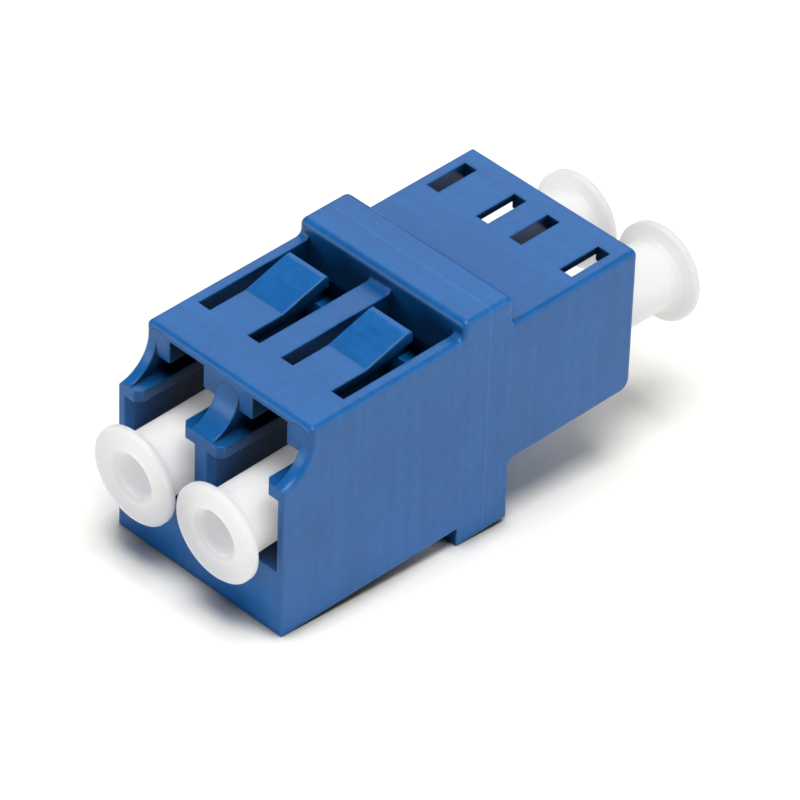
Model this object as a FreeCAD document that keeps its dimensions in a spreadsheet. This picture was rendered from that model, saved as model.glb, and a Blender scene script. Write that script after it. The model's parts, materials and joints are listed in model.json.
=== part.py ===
import FreeCAD, Part
import math
import os
import re
import Sketcher

# Duplex LC adapter, in millimetres.
# X runs across the two ports, Y runs along the fibres and +Y is the rear.
# The origin is on the plane where the two fibres meet, half way along the flange
# and between the ports, level with the underside of the flange.
SIZES = {
    # housing, outside
    "body_width": 12.45,
    "port_pitch": 6.25,
    "axis_height": 7.68,
    "flange_length": 3.69,
    "ridge_rise": 0.99,
    "front_reach": 14.72,
    "front_base": 1.20,
    "front_roof": 1.87,
    "plate_setback": 1.90,
    "scallop_radius": 2.20,
    "scallop_drop": 0.88,
    "rear_reach": 11.03,
    "rear_base": 3.90,
    "rear_roof": 0.99,
    "long_edge_round": 0.30,
    "ridge_front_round": 0.40,
    "ridge_rear_round": 0.50,
    "ridge_foot_round": 0.30,
    "plate_lip_round": 0.30,
    "flange_root_round": 0.50,
    "rear_corner_round": 0.60,
    # ports and latch channels
    "port_width": 4.65,
    "floor_drop": 2.30,
    "rail_rise": 2.50,
    "rail_thickness": 0.73,
    "rail_width": 0.72,
    "channel_rise": 4.44,
    "mouth_lead_in": 0.36,
    "foot_groove_depth": 0.35,
    "foot_groove_height": 0.99,
    "foot_groove_slope": 0.76,
    "catch_reach": 9.85,
    "notch_width": 2.60,
    "notch_roof": 0.45,
    "rear_notch_roof": 0.45,
    "lug_slot_width": 0.90,
    "rear_slot_length": 2.92,
    # panel latch tongues
    "tongue_thickness": 0.75,
    "tongue_rise": 0.83,
    "tongue_root_length": 2.55,
    "tongue_tip_land": 0.40,
    "tongue_tip_edge": 0.12,
    "panel_gap": 2.15,
    # middle wall, barrels and split sleeves
    "wall_half": 1.95,
    "plate_thickness": 1.10,
    "insert_clearance": 0.03,
    "barrel_radius": 1.38,
    "barrel_reach": 4.40,
    "sleeve_length": 6.80,
    "sleeve_bore": 0.6245,
    "sleeve_wall": 0.19,
    "sleeve_slit": 0.25,
    "sleeve_play": 0.14,
    "sleeve_end_play": 0.10,
    "lip_bore": 0.70,
    "lip_lead_in": 0.34,
    # dust caps
    "cap_stand_off": 2.00,
    "cap_end_gap": 0.30,
    "cap_radius": 2.92,
    "cap_root_radius": 1.86,
    "cap_stem_radius": 2.00,
    "cap_flare_radius": 1.00,
    "cap_rim": 0.45,
    "cap_rim_edge": 0.12,
    "cap_mouth_radius": 1.38,
    "cap_mouth_depth": 3.50,
    "cap_mouth_edge": 0.20,
    "cap_web": 0.80,
    "cap_grip_clearance": 0.14,
    "cap_lift": 0.10,
    "cap_rest_gap": 0.03,
}

document = FreeCAD.newDocument("lc_duplex_adapter")
sheet = document.addObject("Spreadsheet::Sheet", "Sizes")
for row, (alias, value) in enumerate(SIZES.items(), start=1):
    sheet.set(f"A{row}", alias)
    sheet.set(f"B{row}", str(value))
    sheet.setAlias(f"B{row}", alias)
document.recompute()


def linked(expression):
    """Give each size named in an expression its place in the sheet."""
    def cell(match):
        word = match.group()
        return "Sizes." + word if word in SIZES else word

    return re.sub(r"[a-z_]+", cell, expression)


def new_body(label):
    body = document.addObject("PartDesign::Body", label)
    body.Label = label
    return body


def place(body, across, along, up):
    """Put a body at bound coordinates."""
    for axis, expression in zip("xyz", (across, along, up)):
        body.setExpression(f"Placement.Base.{axis}", linked(expression))


def origin_feature(body, role):
    return next(item for item in body.Origin.OriginFeatures if item.Role == role)


def new_sketch(body, name, role):
    sketch = body.newObject("Sketcher::SketchObject", name)
    sketch.AttachmentSupport = [(origin_feature(body, role), "")]
    sketch.MapMode = "FlatFace"
    return sketch


def bind_point(sketch, geometry, position, across, up):
    """Fix one sketch point at bound distances from the sketch's origin."""
    start = sketch.getPoint(geometry, position)
    for kind, value, expression in (("DistanceX", start.x, across), ("DistanceY", start.y, up)):
        index = sketch.addConstraint(Sketcher.Constraint(kind, -1, 1, geometry, position, value))
        sketch.setExpression(f"Constraints[{index}]", linked(expression))


def add_outline(sketch, corners):
    """Add a closed outline of straight edges whose corners are bound expressions."""
    count = len(corners)
    first = sketch.GeometryCount
    turn = 2 * math.pi / count
    ring = [FreeCAD.Vector(math.cos(turn * n), math.sin(turn * n), 0) for n in range(count)]
    for n in range(count):
        sketch.addGeometry(Part.LineSegment(ring[n], ring[(n + 1) % count]))
    for n in range(count):
        following = first + (n + 1) % count
        sketch.addConstraint(Sketcher.Constraint("Coincident", first + n, 2, following, 1))
    for n, (across, up) in enumerate(corners):
        bind_point(sketch, first + n, 1, across, up)


def add_circle(sketch, across, up, radius):
    """Add a circle whose centre and radius are bound expressions."""
    circle = Part.Circle(FreeCAD.Vector(1, 1, 0), FreeCAD.Vector(0, 0, 1), 1)
    geometry = sketch.addGeometry(circle)
    bind_point(sketch, geometry, 3, across, up)
    index = sketch.addConstraint(Sketcher.Constraint("Radius", geometry, 1))
    sketch.setExpression(f"Constraints[{index}]", linked(radius))


def add_axis(sketch, up):
    """Add a construction line along a sketch's first direction, at a bound height."""
    line = Part.LineSegment(FreeCAD.Vector(0, 0, 0), FreeCAD.Vector(1, 0, 0))
    geometry = sketch.addGeometry(line, True)
    bind_point(sketch, geometry, 1, "0", up)
    bind_point(sketch, geometry, 2, "1", up)


def extrude(body, kind, name, sketch, length, start="0", midplane=False, reverse=False):
    """Pad or pocket a sketch by a bound length, starting at a bound offset from its plane."""
    sketch.setExpression("AttachmentOffset.Base.z", linked(start))
    feature = body.newObject(f"PartDesign::{kind}", name)
    feature.Profile = sketch
    feature.Type = "Length"
    feature.setExpression("Length", linked(length))
    feature.Midplane = midplane
    feature.Reversed = reverse
    return feature


def revolve(body, kind, name, sketch, axis):
    """Turn a sketch once round its own upright axis or its first construction line."""
    feature = body.newObject(f"PartDesign::{kind}", name)
    feature.Profile = sketch
    feature.ReferenceAxis = (sketch, [axis])
    feature.Angle = 360
    return feature


def rounded(body, name, base, radius, chosen):
    """Fillet the edges of a feature that a test picks."""
    document.recompute()
    edges = enumerate(base.Shape.Edges, start=1)
    names = [f"Edge{number}" for number, edge in edges if chosen(edge)]
    fillet = body.newObject("PartDesign::Fillet", name)
    fillet.Base = (base, names)
    fillet.setExpression("Radius", linked(radius))
    return fillet


def near(a, b):
    return abs(a - b) < 1e-4


# Levels and stations that several sketches share.
CHANNEL_TOP = "(axis_height + channel_rise)"
FRONT_TOP = f"({CHANNEL_TOP} + front_roof)"
REAR_TOP = f"({CHANNEL_TOP} + rear_roof)"
RIDGE_TOP = f"({FRONT_TOP} + ridge_rise)"
PLATE_FRONT = "(plate_setback - front_reach)"
PORT_HALF = "(port_width / 2)"
LEFT_PORT = "(-port_pitch / 2)"
SLEEVE_RADIUS = "(sleeve_bore + sleeve_wall)"
SLEEVE_POCKET = "(sleeve_bore + sleeve_wall + sleeve_play)"
SLEEVE_SEAT = "(sleeve_length / 2 + sleeve_end_play)"
CAP_LENGTH = "(front_reach + cap_stand_off - wall_half - cap_end_gap)"
FLARE_CONES = 4


def box_outline(left, right, low, high):
    return [(left, low), (right, low), (right, high), (left, high)]


def plug_half(axis, gap):
    """Right half of the plug square with its foot groove, up to the rail."""
    groove_side = f"{PORT_HALF} + foot_groove_depth - {gap}"
    side = f"{PORT_HALF} - {gap}"
    return [
        (groove_side, f"{axis} - floor_drop + {gap}"),
        (groove_side, f"{axis} - floor_drop + foot_groove_height"),
        (side, f"{axis} - floor_drop + foot_groove_height + foot_groove_slope"),
        (side, f"{axis} + rail_rise - {gap}"),
    ]


def port_half(axis):
    """Right half of a port: plug square, rail and lug channel."""
    rail_side = f"{PORT_HALF} - rail_width"
    rail_top = f"{axis} + rail_rise + rail_thickness"
    return plug_half(axis, "0") + [
        (rail_side, f"{axis} + rail_rise"),
        (rail_side, rail_top),
        (PORT_HALF, rail_top),
        (PORT_HALF, f"{axis} + channel_rise"),
    ]


def both_halves(centre, half):
    """Close an outline by mirroring its right half about a port's centre."""
    right = [(f"{centre} + ({across})", up) for across, up in half]
    left = [(f"{centre} - ({across})", up) for across, up in reversed(half)]
    return right + left


def cone_outline(centre, tip, seat):
    """Upper half of the lead-in that guides a ferrule through a barrel's lip."""
    return [(tip, centre), (tip, f"{centre} + lip_bore + lip_lead_in"),
            (seat, f"{centre} + lip_bore"), (seat, centre)]


def housing_shell(body):
    """The moulded outside: side profile, scallops at the mouth and rounded edges."""
    profile = new_sketch(body, "side_profile", "YZ_Plane")
    ledge = f"{FRONT_TOP} - scallop_drop"
    add_outline(profile, [
        ("-front_reach", "front_base"),
        ("-flange_length / 2", "front_base"),
        ("-flange_length / 2", "0"),
        ("flange_length / 2", "0"),
        ("flange_length / 2", "rear_base"),
        ("rear_reach", "rear_base"),
        ("rear_reach", REAR_TOP),
        ("flange_length / 2", REAR_TOP),
        ("flange_length / 2", RIDGE_TOP),
        ("-flange_length / 2", RIDGE_TOP),
        ("-flange_length / 2", FRONT_TOP),
        (PLATE_FRONT, FRONT_TOP),
        (PLATE_FRONT, ledge),
        ("-front_reach", ledge),
    ])
    block = extrude(body, "Pad", "block", profile, "body_width", midplane=True)
    hollow = new_sketch(body, "scallop_circle", "YZ_Plane")
    add_circle(hollow, f"{PLATE_FRONT} - scallop_radius", ledge, "scallop_radius")
    scallop = extrude(body, "Pocket", "scallop", hollow, "body_width", midplane=True)

    half_flange = SIZES["flange_length"] / 2
    channel_top = SIZES["axis_height"] + SIZES["channel_rise"]
    front_top = channel_top + SIZES["front_roof"]
    rear_top = channel_top + SIZES["rear_roof"]
    ridge_top = front_top + SIZES["ridge_rise"]

    def cross_edges(*places):
        def chosen(edge):
            return any(all(near(vertex.Y, along) and near(vertex.Z, up)
                           for vertex in edge.Vertexes) for along, up in places)
        return chosen

    def long_top_edge(edge):
        box = edge.BoundBox
        return (near(box.XLength, 0) and near(abs(box.XMin), SIZES["body_width"] / 2)
                and any(near(box.ZMin, top) and near(box.ZMax, top)
                        for top in (front_top, rear_top, ridge_top)))

    plate_front = SIZES["plate_setback"] - SIZES["front_reach"]
    rounds = (
        ("ridge_front", "ridge_front_round", cross_edges((-half_flange, ridge_top))),
        ("ridge_rear", "ridge_rear_round", cross_edges((half_flange, ridge_top))),
        ("ridge_foot", "ridge_foot_round",
         cross_edges((-half_flange, front_top), (half_flange, rear_top))),
        ("plate_lip", "plate_lip_round", cross_edges((plate_front, front_top))),
        ("long_edges", "long_edge_round", long_top_edge),
        ("flange_root", "flange_root_round", cross_edges((half_flange, SIZES["rear_base"]))),
        ("rear_corner", "rear_corner_round",
         cross_edges((SIZES["rear_reach"], SIZES["rear_base"]))),
    )
    shell = scallop
    for name, radius, chosen in rounds:
        shell = rounded(body, name, shell, radius, chosen)


def front_port(body):
    """Front port with its notch, latch catches and the window above it."""
    section = new_sketch(body, "front_port_section", "XZ_Plane")
    add_outline(section, both_halves(LEFT_PORT, port_half("axis_height")))
    port = extrude(body, "Pocket", "front_port", section,
                   "front_reach - wall_half + plate_thickness", start="front_reach")

    face = new_sketch(body, "mouth_section", "XZ_Plane")
    add_outline(face, box_outline(f"{LEFT_PORT} - {PORT_HALF}", f"{LEFT_PORT} + {PORT_HALF}",
                                  CHANNEL_TOP, RIDGE_TOP))
    mouth = extrude(body, "Pocket", "mouth", face, "plate_setback", start="front_reach")

    walls = mouth_lead_in(body, "wall", PORT_HALF, "axis_height + rail_rise",
                          "rail_rise + floor_drop")
    rails = mouth_lead_in(body, "rail", f"({PORT_HALF} - rail_width)",
                          "axis_height + rail_rise + rail_thickness", "rail_thickness")

    slope = new_sketch(body, "notch_profile", "YZ_Plane")
    add_outline(slope, [
        ("-front_reach", CHANNEL_TOP),
        ("-catch_reach", CHANNEL_TOP),
        ("-catch_reach", f"{FRONT_TOP} - tongue_thickness"),
        (PLATE_FRONT, f"{FRONT_TOP} - notch_roof"),
        ("-front_reach", f"{FRONT_TOP} - notch_roof"),
    ])
    notch = extrude(body, "Pocket", "notch", slope, "notch_width", start=LEFT_PORT, midplane=True)

    opening = new_sketch(body, "window_outline", "XY_Plane")
    add_outline(opening, box_outline(f"{LEFT_PORT} - {PORT_HALF}", f"{LEFT_PORT} + {PORT_HALF}",
                                     "-catch_reach", "-flange_length / 2"))
    window = extrude(body, "Pocket", "window", opening,
                     f"{RIDGE_TOP} - {CHANNEL_TOP}", start=RIDGE_TOP)
    return [port, mouth, walls, rails, notch, window, panel_tongue(body)]


def mouth_lead_in(body, name, side, top, height):
    """Bevel the two upright mouth edges that stand at a distance from the port's centre."""
    corners = new_sketch(body, f"{name}_lead_in_outlines", "XY_Plane")
    for sign in ("-", "+"):
        edge = f"{LEFT_PORT} {sign} {side}"
        add_outline(corners, [(edge, "-front_reach"), (edge, "mouth_lead_in - front_reach"),
                              (f"{edge} {sign} mouth_lead_in", "-front_reach")])
    return extrude(body, "Pocket", f"{name}_lead_in", corners, height, start=top)


def panel_tongue(body):
    """Sprung tongue that rises to hold a panel against the flange."""
    fold = "tongue_root_length - catch_reach"
    tip = "-flange_length / 2 - panel_gap"
    raised = f"{FRONT_TOP} + tongue_rise"
    profile = new_sketch(body, "tongue_profile", "YZ_Plane")
    add_outline(profile, [
        ("-catch_reach", FRONT_TOP),
        ("-catch_reach", f"{FRONT_TOP} - tongue_thickness"),
        (fold, f"{FRONT_TOP} - tongue_thickness"),
        (f"{tip} - tongue_tip_land", f"{raised} - tongue_thickness"),
        (tip, f"{raised} - tongue_thickness"),
        (tip, f"{raised} - tongue_tip_edge"),
        (f"{tip} - tongue_tip_edge", raised),
        (f"{tip} - tongue_tip_land", raised),
        (fold, FRONT_TOP),
    ])
    return extrude(body, "Pad", "tongue", profile, "port_width - 2 * lug_slot_width",
                   start=LEFT_PORT, midplane=True)


def rear_port(body):
    """Rear port with its notch, lug pocket and the two lug slots through the top."""
    section = new_sketch(body, "rear_port_section", "XZ_Plane")
    add_outline(section, both_halves(LEFT_PORT, port_half("axis_height")))
    port = extrude(body, "Pocket", "rear_port", section, "rear_reach - wall_half",
                   start="-rear_reach", reverse=True)

    face = new_sketch(body, "rear_notch_section", "XZ_Plane")
    add_outline(face, box_outline(f"{LEFT_PORT} - notch_width / 2",
                                  f"{LEFT_PORT} + notch_width / 2",
                                  CHANNEL_TOP, f"{REAR_TOP} - rear_notch_roof"))
    notch = extrude(body, "Pocket", "rear_notch", face,
                    "rear_reach - catch_reach + rear_slot_length",
                    start="-rear_reach", reverse=True)

    near_end = "catch_reach - rear_slot_length"
    hollow = new_sketch(body, "lug_pocket_outline", "XY_Plane")
    add_outline(hollow, box_outline(f"{LEFT_PORT} - {PORT_HALF}", f"{LEFT_PORT} + {PORT_HALF}",
                                    near_end, "catch_reach"))
    roof = f"{REAR_TOP} - rear_notch_roof"
    pocket = extrude(body, "Pocket", "lug_pocket", hollow, f"{roof} - {CHANNEL_TOP}", start=roof)

    slots = new_sketch(body, "lug_slot_outlines", "XY_Plane")
    inner = f"{PORT_HALF} - lug_slot_width"
    for sign in ("-", "+"):
        edges = (f"{LEFT_PORT} {sign} {PORT_HALF}", f"{LEFT_PORT} {sign} ({inner})")
        add_outline(slots, box_outline(*edges, near_end, "catch_reach"))
    lugs = extrude(body, "Pocket", "lug_slots", slots,
                   f"{REAR_TOP} - {CHANNEL_TOP}", start=REAR_TOP)
    return [port, notch, pocket, lugs]


def rear_barrel(body):
    """Barrel on the middle wall that holds the rear half of a split sleeve."""
    ring = new_sketch(body, "barrel_section", "XZ_Plane")
    add_circle(ring, LEFT_PORT, "axis_height", "barrel_radius")
    barrel = extrude(body, "Pad", "barrel", ring, "barrel_reach - wall_half",
                     start="-barrel_reach")
    seat = new_sketch(body, "sleeve_seat_section", "XZ_Plane")
    add_circle(seat, LEFT_PORT, "axis_height", SLEEVE_POCKET)
    pocket = extrude(body, "Pocket", "sleeve_seat", seat,
                     f"wall_half - plate_thickness + {SLEEVE_SEAT}",
                     start="wall_half - plate_thickness")
    cone = new_sketch(body, "lip_profile", "YZ_Plane")
    cone.setExpression("AttachmentOffset.Base.z", linked(LEFT_PORT))
    add_axis(cone, "axis_height")
    add_outline(cone, cone_outline("axis_height", "barrel_reach", SLEEVE_SEAT))
    lip = revolve(body, "Groove", "lip", cone, "Axis0")
    return [barrel, pocket, lip]


def make_housing():
    """One moulding: the left port is cut once and repeated for the right one."""
    body = new_body("housing")
    housing_shell(body)
    features = front_port(body) + rear_port(body) + rear_barrel(body)
    pair = body.newObject("PartDesign::LinearPattern", "port_pair")
    pair.Originals = features
    pair.Direction = (origin_feature(body, "X_Axis"), [""])
    pair.setExpression("Length", linked("port_pitch"))
    pair.Occurrences = 2
    body.Tip = pair
    return body


def make_retainer(label, across):
    """Plate and front barrel, pressed into a port from the front over the sleeve."""
    body = new_body(label)
    section = new_sketch(body, "plate_section", "XZ_Plane")
    add_outline(section, both_halves("0", plug_half("0", "insert_clearance")))
    extrude(body, "Pad", "plate", section, "plate_thickness", start="wall_half - plate_thickness")
    ring = new_sketch(body, "barrel_section", "XZ_Plane")
    add_circle(ring, "0", "0", "barrel_radius")
    extrude(body, "Pad", "barrel", ring, "barrel_reach - wall_half", start="wall_half")
    seat = new_sketch(body, "sleeve_seat_section", "XZ_Plane")
    add_circle(seat, "0", "0", SLEEVE_POCKET)
    extrude(body, "Pocket", "sleeve_seat", seat,
            f"{SLEEVE_SEAT} - wall_half + plate_thickness", start=SLEEVE_SEAT)
    cone = new_sketch(body, "lip_profile", "YZ_Plane")
    add_axis(cone, "0")
    add_outline(cone, cone_outline("0", "-barrel_reach", f"-{SLEEVE_SEAT}"))
    revolve(body, "Groove", "lip", cone, "Axis0")
    place(body, across, "0", "axis_height")
    return body


def make_sleeve(label, across):
    """Split zirconia sleeve, slit along its top."""
    body = new_body(label)
    section = new_sketch(body, "ring_section", "XZ_Plane")
    add_circle(section, "0", "0", SLEEVE_RADIUS)
    add_circle(section, "0", "0", "sleeve_bore")
    extrude(body, "Pad", "ring", section, "sleeve_length", midplane=True)
    gap = new_sketch(body, "slit_section", "XZ_Plane")
    add_outline(gap, box_outline("-sleeve_slit / 2", "sleeve_slit / 2",
                                 "sleeve_bore / 2", "sleeve_bore + 2 * sleeve_wall"))
    extrude(body, "Pocket", "slit", gap, "sleeve_length", midplane=True)
    place(body, across, "0", "axis_height")
    return body


def make_cap(label, across, along, lean_axis, mouth):
    """Dust cap: a tapered tube over the barrel, flared to a trumpet-shaped rim.

    Its inner end is at its own origin. The tube lies loose in the port: lifted against
    the barrel inside, and resting on the port's floor at the mouth. Short cones follow
    the hollow curve of the flare.
    """
    sweep = "acos(1 - (cap_radius - cap_stem_radius) / cap_flare_radius)"
    flare_foot = f"({CAP_LENGTH} - cap_rim - cap_flare_radius * sin({sweep}))"
    flare = []
    for step in range(FLARE_CONES + 1):
        turn = f"({sweep} * {step} / {FLARE_CONES})"
        flare.append((f"cap_stem_radius + cap_flare_radius * (1 - cos({turn}))",
                      f"{flare_foot} + cap_flare_radius * sin({turn})"))
    cup_end = f"{CAP_LENGTH} - cap_mouth_depth"
    bore = "barrel_radius + cap_grip_clearance"
    body = new_body(label)
    profile = new_sketch(body, "cap_profile", "YZ_Plane")
    add_outline(profile, [
        (bore, "0"),
        ("cap_root_radius", "0"),
        *flare,
        ("cap_radius", f"{CAP_LENGTH} - cap_rim_edge"),
        ("cap_radius - cap_rim_edge", CAP_LENGTH),
        ("cap_mouth_radius + cap_mouth_edge", CAP_LENGTH),
        ("cap_mouth_radius", f"{CAP_LENGTH} - cap_mouth_edge"),
        ("cap_mouth_radius", cup_end),
        ("0", cup_end),
        ("0", f"{cup_end} - cap_web"),
        (bore, f"{cup_end} - cap_web"),
    ])
    revolve(body, "Revolution", "tube", profile, "V_Axis")

    drop = "(cap_lift + floor_drop - cap_rest_gap - cap_stem_radius)"
    body.Placement = FreeCAD.Placement(FreeCAD.Vector(), FreeCAD.Rotation(lean_axis, 90))
    body.setExpression("Placement.Rotation.Angle", linked(
        f"90 deg + atan({drop} / ({mouth} - wall_half - cap_end_gap))"))
    place(body, across, along, "axis_height + cap_lift")
    return body


def check(parts):
    """Stop if any feature failed or any piece has no sound solid."""
    for item in document.Objects:
        if "Invalid" in item.State or "Error" in item.State:
            raise RuntimeError(f"{item.Label} failed: {item.State}")
    for part in parts:
        if part.Shape.isNull() or not part.Shape.isValid() or len(part.Shape.Solids) != 1:
            raise RuntimeError(f"{part.Label} is not one sound solid")


SIDES = {"left": "-port_pitch / 2", "right": "port_pitch / 2"}
pieces = [make_housing()]
for side_name, station in SIDES.items():
    pieces.append(make_retainer(f"sleeve_retainer_{side_name}", station))
    pieces.append(make_sleeve(f"split_sleeve_{side_name}", station))
    for end_name, sign, mouth in (("front", -1, "front_reach"), ("rear", 1, "rear_reach")):
        pieces.append(make_cap(f"dust_cap_{end_name}_{side_name}", station,
                               f"{sign} * (wall_half + cap_end_gap)",
                               FreeCAD.Vector(-sign, 0, 0), mouth))

document.recompute()
check(pieces)
os.makedirs("parts", exist_ok=True)
for piece in pieces:
    piece.Shape.exportStep(os.path.join("parts", piece.Label + ".step"))
    print(f"{piece.Label}: {piece.Shape.Volume:.2f} mm3")
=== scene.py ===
"""Finishes, floor, lights and camera for a duplex LC fibre adapter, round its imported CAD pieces.

Lengths are in metres and angles in degrees.
"""
import json
import math
import bpy
from mathutils import Matrix, Vector

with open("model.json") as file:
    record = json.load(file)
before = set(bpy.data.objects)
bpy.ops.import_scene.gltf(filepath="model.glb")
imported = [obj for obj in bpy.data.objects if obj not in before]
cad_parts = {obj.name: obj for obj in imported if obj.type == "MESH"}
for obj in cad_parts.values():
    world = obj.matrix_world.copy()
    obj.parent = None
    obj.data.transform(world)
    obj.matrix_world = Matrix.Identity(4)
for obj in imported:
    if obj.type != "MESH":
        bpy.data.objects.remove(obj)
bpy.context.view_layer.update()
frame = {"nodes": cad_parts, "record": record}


MM = 0.001

# ---------------------------------------------------------------- shader maths

TEST_RAYS = 4           # rays that each edge or hollow test sends out
EDGE_GAIN = 6.0         # how quickly a rounded face becomes a full edge
HOLLOW_GAIN = 2.0       # how quickly a closed-in face becomes a full hollow


class Shade:
    """A node's output that takes part in Python arithmetic."""

    def __init__(self, finish, socket):
        self.finish = finish
        self.socket = socket

    def maths(self, operation, *values):
        return self.finish.node("ShaderNodeMath", {"operation": operation},
                                dict(enumerate(values)))

    def __add__(self, other):
        return self.maths("ADD", self, other)

    def __radd__(self, other):
        return self.maths("ADD", other, self)

    def __sub__(self, other):
        return self.maths("SUBTRACT", self, other)

    def __rsub__(self, other):
        return self.maths("SUBTRACT", other, self)

    def __mul__(self, other):
        return self.maths("MULTIPLY", self, other)

    def __rmul__(self, other):
        return self.maths("MULTIPLY", other, self)

    def size(self):
        """The value without its sign."""
        return self.maths("ABSOLUTE", self)

    def clamped(self):
        """The value kept between 0 and 1."""
        return self.finish.node("ShaderNodeClamp", {}, {"Value": self})


class Finish:
    """A material under construction: its nodes, its place on the piece and its shader."""

    def __init__(self, name):
        self.material = bpy.data.materials.new(name)
        self.material.use_nodes = True
        self.tree = self.material.node_tree
        self.shader = next(node for node in self.tree.nodes if node.type == "BSDF_PRINCIPLED")
        self.place = self.node("ShaderNodeTexCoord", output="Object")

    def feed(self, socket, value):
        """Link a socket to a shade, or give it a plain value."""
        if isinstance(value, Shade):
            self.tree.links.new(value.socket, socket)
        else:
            socket.default_value = value

    def node(self, kind, settings=None, inputs=None, output=0):
        """Add a node: its settings first, then the values or links of its sockets."""
        node = self.tree.nodes.new(kind)
        for name, setting in (settings or {}).items():
            setattr(node, name, setting)
        for name, value in (inputs or {}).items():
            self.feed(node.inputs[name], value)
        return Shade(self, node.outputs[output])

    def stretched(self, across, along, up):
        """The place on the piece in cells, given in cells per metre along X, Y and Z."""
        return self.node("ShaderNodeMapping", {"vector_type": "POINT"},
                         {"Vector": self.place, "Scale": (across, along, up)})

    def noise(self, place, cells, detail=2.0):
        """Soft noise with so many cells to each unit of the place."""
        return self.node("ShaderNodeTexNoise", {"noise_dimensions": "3D"},
                         {"Vector": place, "Scale": cells, "Detail": detail})

    def mix(self, share, first, second):
        """From the first colour where the share is 0 to the second where it is 1."""
        return self.node("ShaderNodeMix", {"data_type": "RGBA"},
                         {0: share, 6: first, 7: second}, output=2)

    def coordinate(self, axis):
        return self.node("ShaderNodeSeparateXYZ", {}, {0: self.place}, output=axis)

    def line(self, distance, width):
        """A mask that is 1 where a distance is 0 and fades over half the width on each side."""
        return (1 - distance.size() * (2 / width)).clamped()

    def shade_mask(self, reach, limit, own_faces):
        """A mask of where shade falls: 0 where a face is opener than the limit, growing in slots
        and corners.
        """
        openness = self.node("ShaderNodeAmbientOcclusion",
                             {"samples": TEST_RAYS, "only_local": own_faces},
                             {"Distance": reach}, output="AO")
        return ((limit - openness) * HOLLOW_GAIN).clamped()

    def rounded(self, radius):
        """The face's direction, rounded over the edges."""
        return self.node("ShaderNodeBevel", {"samples": TEST_RAYS}, {"Radius": radius})

    def edge(self, rounded):
        """A mask that is 0 on flat faces and grows where the rounding bends them."""
        flat = self.node("ShaderNodeNewGeometry", output="Normal")
        agreement = self.node("ShaderNodeVectorMath", {"operation": "DOT_PRODUCT"},
                              {0: rounded, 1: flat}, output="Value")
        return ((1 - agreement) * EDGE_GAIN).clamped()

    def bump(self, height, depth, rounded):
        return self.node("ShaderNodeBump", {}, {"Strength": 1.0, "Distance": depth,
                                                "Height": height, "Normal": rounded})

    def set(self, **values):
        """Set or link the shader's own sockets, underscores standing for spaces."""
        for name, value in values.items():
            self.feed(self.shader.inputs[name.replace("_", " ")], value)
        return self.material


# ---------------------------------------------------------------- finishes

STREAK_ALONG = 90.0             # cells per metre along a flow streak
STREAK_ACROSS = 2200.0          # and across it
MOULD_LINE_Y = 0.10 * MM        # the mould line runs round the middle of the flange
MOULD_LINE_WIDTH = 0.16 * MM
WALL_FACE_Y = -12.82 * MM       # front face of the walls beside the ports
WALL_FACE_DEPTH = 0.50 * MM
ARCH_WIDTH = 0.14 * MM
ARCH_FOOT = 0.25                # height over which an arch fades in, in radii
# Painted shadow lines: thin dark arcs that stand in for the shade of small arched steps at the wall
# tops.
ARCH_SHADOW_LINES = ((0.0, 12.5 * MM, 0.86 * MM),              # middle wall: across, up, radius
          (-5.25 * MM, 13.1 * MM, 0.70 * MM),       # left wall
          (5.25 * MM, 13.1 * MM, 0.70 * MM))        # right wall


def arch_shadow_line(finish, across, up, radius):
    """A painted thin dark shadow line, round like an arch, above a point of the walls' front face.
    """
    flat = finish.node("ShaderNodeVectorMath", {"operation": "MULTIPLY"},
                       {0: finish.place, 1: (1.0, 0.0, 1.0)})
    reach = finish.node("ShaderNodeVectorMath", {"operation": "DISTANCE"},
                        {0: flat, 1: (across, 0.0, up)}, output="Value")
    upper_half = ((finish.coordinate("Z") - up) * (1 / (ARCH_FOOT * radius))).clamped()
    on_wall = finish.line(finish.coordinate("Y") - WALL_FACE_Y, WALL_FACE_DEPTH)
    return finish.line(reach - radius, ARCH_WIDTH) * upper_half * on_wall


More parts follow.
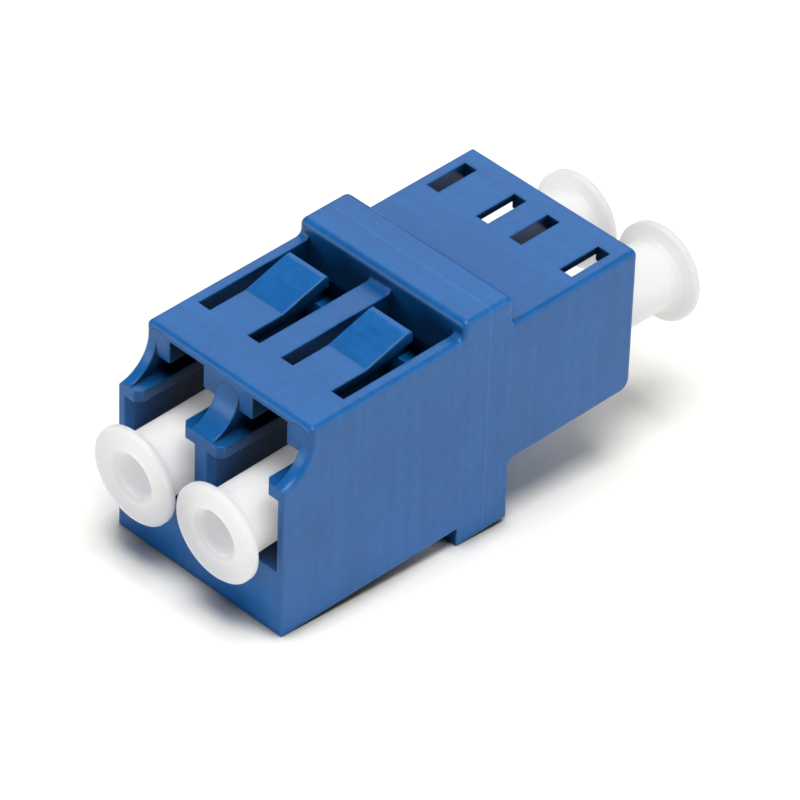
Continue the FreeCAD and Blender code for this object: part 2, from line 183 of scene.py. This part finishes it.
def moulded_blue():
    """Satin blue plastic: flow streaks and a mould line, with painted highlights on the edges,
    painted shade in hollows and painted shadow lines under the wall arches.
    """
    finish = Finish("moulded_blue")
    # deep and light are the plastic's own tones; pale is for painted edge highlights and the mould
    # line; the near black is painted shade.
    deep, light = (0.0010, 0.068, 0.24, 1.0), (0.004, 0.126, 0.41, 1.0)
    pale, shade_black = (0.03, 0.23, 0.52, 1.0), (0.0003, 0.010, 0.038, 1.0)
    rounded = finish.rounded(0.20 * MM)
    # Painted highlight: where the rounding bends a face near an edge, the colour turns pale.
    edge_highlight_mask = finish.edge(rounded)
    # Painted shade: faces closed in by the piece's own slots and corners turn towards near black.
    shade_mask = finish.shade_mask(5.0 * MM, 0.88, own_faces=True)
    cloud = finish.noise(finish.place, 180.0, detail=3.0)
    streaks = (finish.noise(finish.stretched(STREAK_ALONG, STREAK_ACROSS, STREAK_ACROSS), 1.0)
               + finish.noise(finish.stretched(STREAK_ACROSS, STREAK_ACROSS, STREAK_ALONG), 1.0))
    mould_line = finish.line(finish.coordinate("Y") - MOULD_LINE_Y, MOULD_LINE_WIDTH)
    # Painted shadow lines under the middle, left and right wall arches.
    middle, left, right = (arch_shadow_line(finish, *arch) for arch in ARCH_SHADOW_LINES)
    body = finish.mix((cloud * 0.7 + streaks * 0.65 - 0.5).clamped(), deep, light)
    # Pale painted highlights on rounded edges and the pale mould line, both kept out of the painted
    # shade.
    highlights_and_mould_line = finish.mix((edge_highlight_mask * 0.45 + mould_line * 0.22) * (1 - shade_mask), body, pale)
    return finish.set(
        # Painted shade in hollows and painted shadow lines under the wall arches turn the colour
        # near black.
        Base_Color=finish.mix((shade_mask + (middle + left + right) * 0.7).clamped(), highlights_and_mould_line, shade_black),
        Roughness=0.25 + 0.06 * (cloud + streaks),
        IOR=1.40,
        Normal=finish.bump(streaks * 0.5 + mould_line * 0.6, 0.006 * MM, rounded))


def milky_white():
    """Soft milky plastic, faintly cloudy and grainy: it lets a little light into its bore, and the
    bore also gets painted light, a whiter colour and a faint glow.
    """
    finish = Finish("milky_white")
    rounded = finish.rounded(0.22 * MM)
    cloud = finish.noise(finish.place, 400.0)
    grain = finish.noise(finish.place, 7000.0)
    # Painted glow: hollows such as the bore get a whiter colour and a faint glow, standing in for
    # light carried through the plastic.
    painted_bore_glow = finish.shade_mask(4.0 * MM, 0.60, own_faces=True)
    body = finish.mix(cloud, (0.71, 0.71, 0.725, 1.0), (0.76, 0.755, 0.765, 1.0))
    return finish.set(
        Base_Color=finish.mix(painted_bore_glow, body, (0.98, 0.98, 0.98, 1.0)),
        Emission_Color=finish.mix(painted_bore_glow, (0.0, 0.0, 0.0, 1.0), (0.12, 0.12, 0.12, 1.0)),
        Emission_Strength=1.0,
        Roughness=0.42 + 0.12 * grain,
        IOR=1.51,
        Subsurface_Weight=1.0,
        Subsurface_Radius=(1.0, 1.0, 1.0),
        Subsurface_Scale=4.0 * MM,
        Normal=finish.bump(grain, 0.004 * MM, rounded))


def polished_zirconia():
    """Glossy off-white ceramic, faintly cloudy."""
    finish = Finish("polished_zirconia")
    cloud = finish.noise(finish.place, 900.0)
    return finish.set(
        Base_Color=finish.mix(cloud, (0.82, 0.81, 0.76, 1.0), (0.90, 0.89, 0.86, 1.0)),
        Roughness=0.08 + 0.06 * cloud,
        IOR=2.1)


def paper_floor():
    """Matt warm white, with a painted contact shadow in the thin gap where something stands on it.
    """
    finish = Finish("paper_floor")
    # Painted contact shadow: the floor turns near black in the gap close to anything standing on
    # it.
    painted_contact_shadow = finish.shade_mask(1.2 * MM, 0.85, own_faces=False)
    return finish.set(
        Base_Color=finish.mix(painted_contact_shadow, (0.95, 0.93, 0.88, 1.0), (0.05, 0.045, 0.04, 1.0)),
        Roughness=0.9)


blue, white, ceramic = moulded_blue(), milky_white(), polished_zirconia()
SLOT_FINISH = {"blue_plastic": blue, "insert_plastic": blue,
               "cap_plastic": white, "zirconia": ceramic}
for row in frame["record"]["subparts"]:
    node = frame["nodes"][row["node"]]
    for slot in node.material_slots:
        slot.material = SLOT_FINISH[row["material_slot"]]

# ---------------------------------------------------------------- stage

FRONT_EDGE = Vector((0, -14.72, 1.2)) * MM          # the two edges that the adapter stands on
FLANGE_FOOT = Vector((0, -1.845, 0.0)) * MM
FLOOR_SIZE = 1.2
SKY_STRENGTH = 0.08
LIGHTS = (                                          # name, place, aim, width, watts
    ("softbox_above", (0.045, -0.035, 0.40), (0, 0, 0), 0.24, 1.70),
    ("panel_rear_left", (-0.20, 0.205, 0.20), (0, 0, 0), 0.20, 0.19),
    ("panel_right", (0.30, 0.12, 0.10), (0, 0, 0.005), 0.24, 0.38),
    ("panel_front_left", (-0.196, -0.226, 0.20), (0, 0, 0.005), 0.18, 0.04),
    ("panel_front_low", (-0.17, -0.31, 0.06), (0, 0, 0.005), 0.20, 0.42))
CAMERA_PLACE = Vector((185.21, -189.64, 220.10)) * MM
CAMERA_AZIMUTH, CAMERA_ELEVATION, CAMERA_ROLL = 44.4649, 38.9429, 1.8952
LENS, SENSOR = 287.66, 36.0                         # in millimetres, as the camera takes them
SHIFT_ACROSS, SHIFT_UP = 0.0130, -0.0114


def make_floor():
    """Pale floor under the front edge and the flange's foot."""
    bpy.ops.object.select_all(action="DESELECT")
    bpy.ops.mesh.primitive_plane_add(size=FLOOR_SIZE)
    floor = bpy.context.object
    floor.name = "floor"
    run = FLANGE_FOOT - FRONT_EDGE
    lean = math.atan2(run.z, run.y)
    floor.data.transform(Matrix.Translation(FLANGE_FOOT) @ Matrix.Rotation(lean, 4, "X"))
    floor.data.materials.append(paper_floor())


def add_light(name, place, aim, width, watts):
    """Add a round soft light that points at its aim."""
    light = bpy.data.lights.new(name, "AREA")
    light.shape = "DISK"
    light.size = width
    light.energy = watts
    lamp = bpy.data.objects.new(name, light)
    lamp.location = place
    lamp.rotation_euler = (Vector(aim) - Vector(place)).to_track_quat("-Z", "Y").to_euler()
    bpy.context.scene.collection.objects.link(lamp)


def make_sky():
    """Even dim white light from all round."""
    world = bpy.data.worlds.new("studio")
    world.use_nodes = True
    sky = world.node_tree.nodes["Background"]
    sky.inputs["Color"].default_value = (1, 1, 1, 1)
    sky.inputs["Strength"].default_value = SKY_STRENGTH
    bpy.context.scene.world = world


def make_camera():
    """Long lens, looking down on the front right corner with a slight roll."""
    azimuth, elevation, roll = (
        math.radians(angle) for angle in (CAMERA_AZIMUTH, CAMERA_ELEVATION, CAMERA_ROLL))
    back = Vector((math.sin(azimuth) * math.cos(elevation),
                   -math.cos(azimuth) * math.cos(elevation), math.sin(elevation)))
    right = Vector((math.cos(azimuth), math.sin(azimuth), 0))
    up = back.cross(right)
    across = right * math.cos(roll) + up * math.sin(roll)
    upward = up * math.cos(roll) - right * math.sin(roll)
    data = bpy.data.cameras.new("camera")
    data.lens, data.sensor_width = LENS, SENSOR
    data.shift_x, data.shift_y = SHIFT_ACROSS, SHIFT_UP
    data.clip_start, data.clip_end = 0.01, 10.0
    camera = bpy.data.objects.new("camera", data)
    turn = Matrix((across, upward, back)).transposed().to_4x4()
    camera.matrix_world = Matrix.Translation(CAMERA_PLACE) @ turn
    bpy.context.scene.collection.objects.link(camera)
    bpy.context.scene.camera = camera


make_floor()
make_sky()
for light_row in LIGHTS:
    add_light(*light_row)
make_camera()
bpy.context.scene.view_settings.view_transform = "Standard"
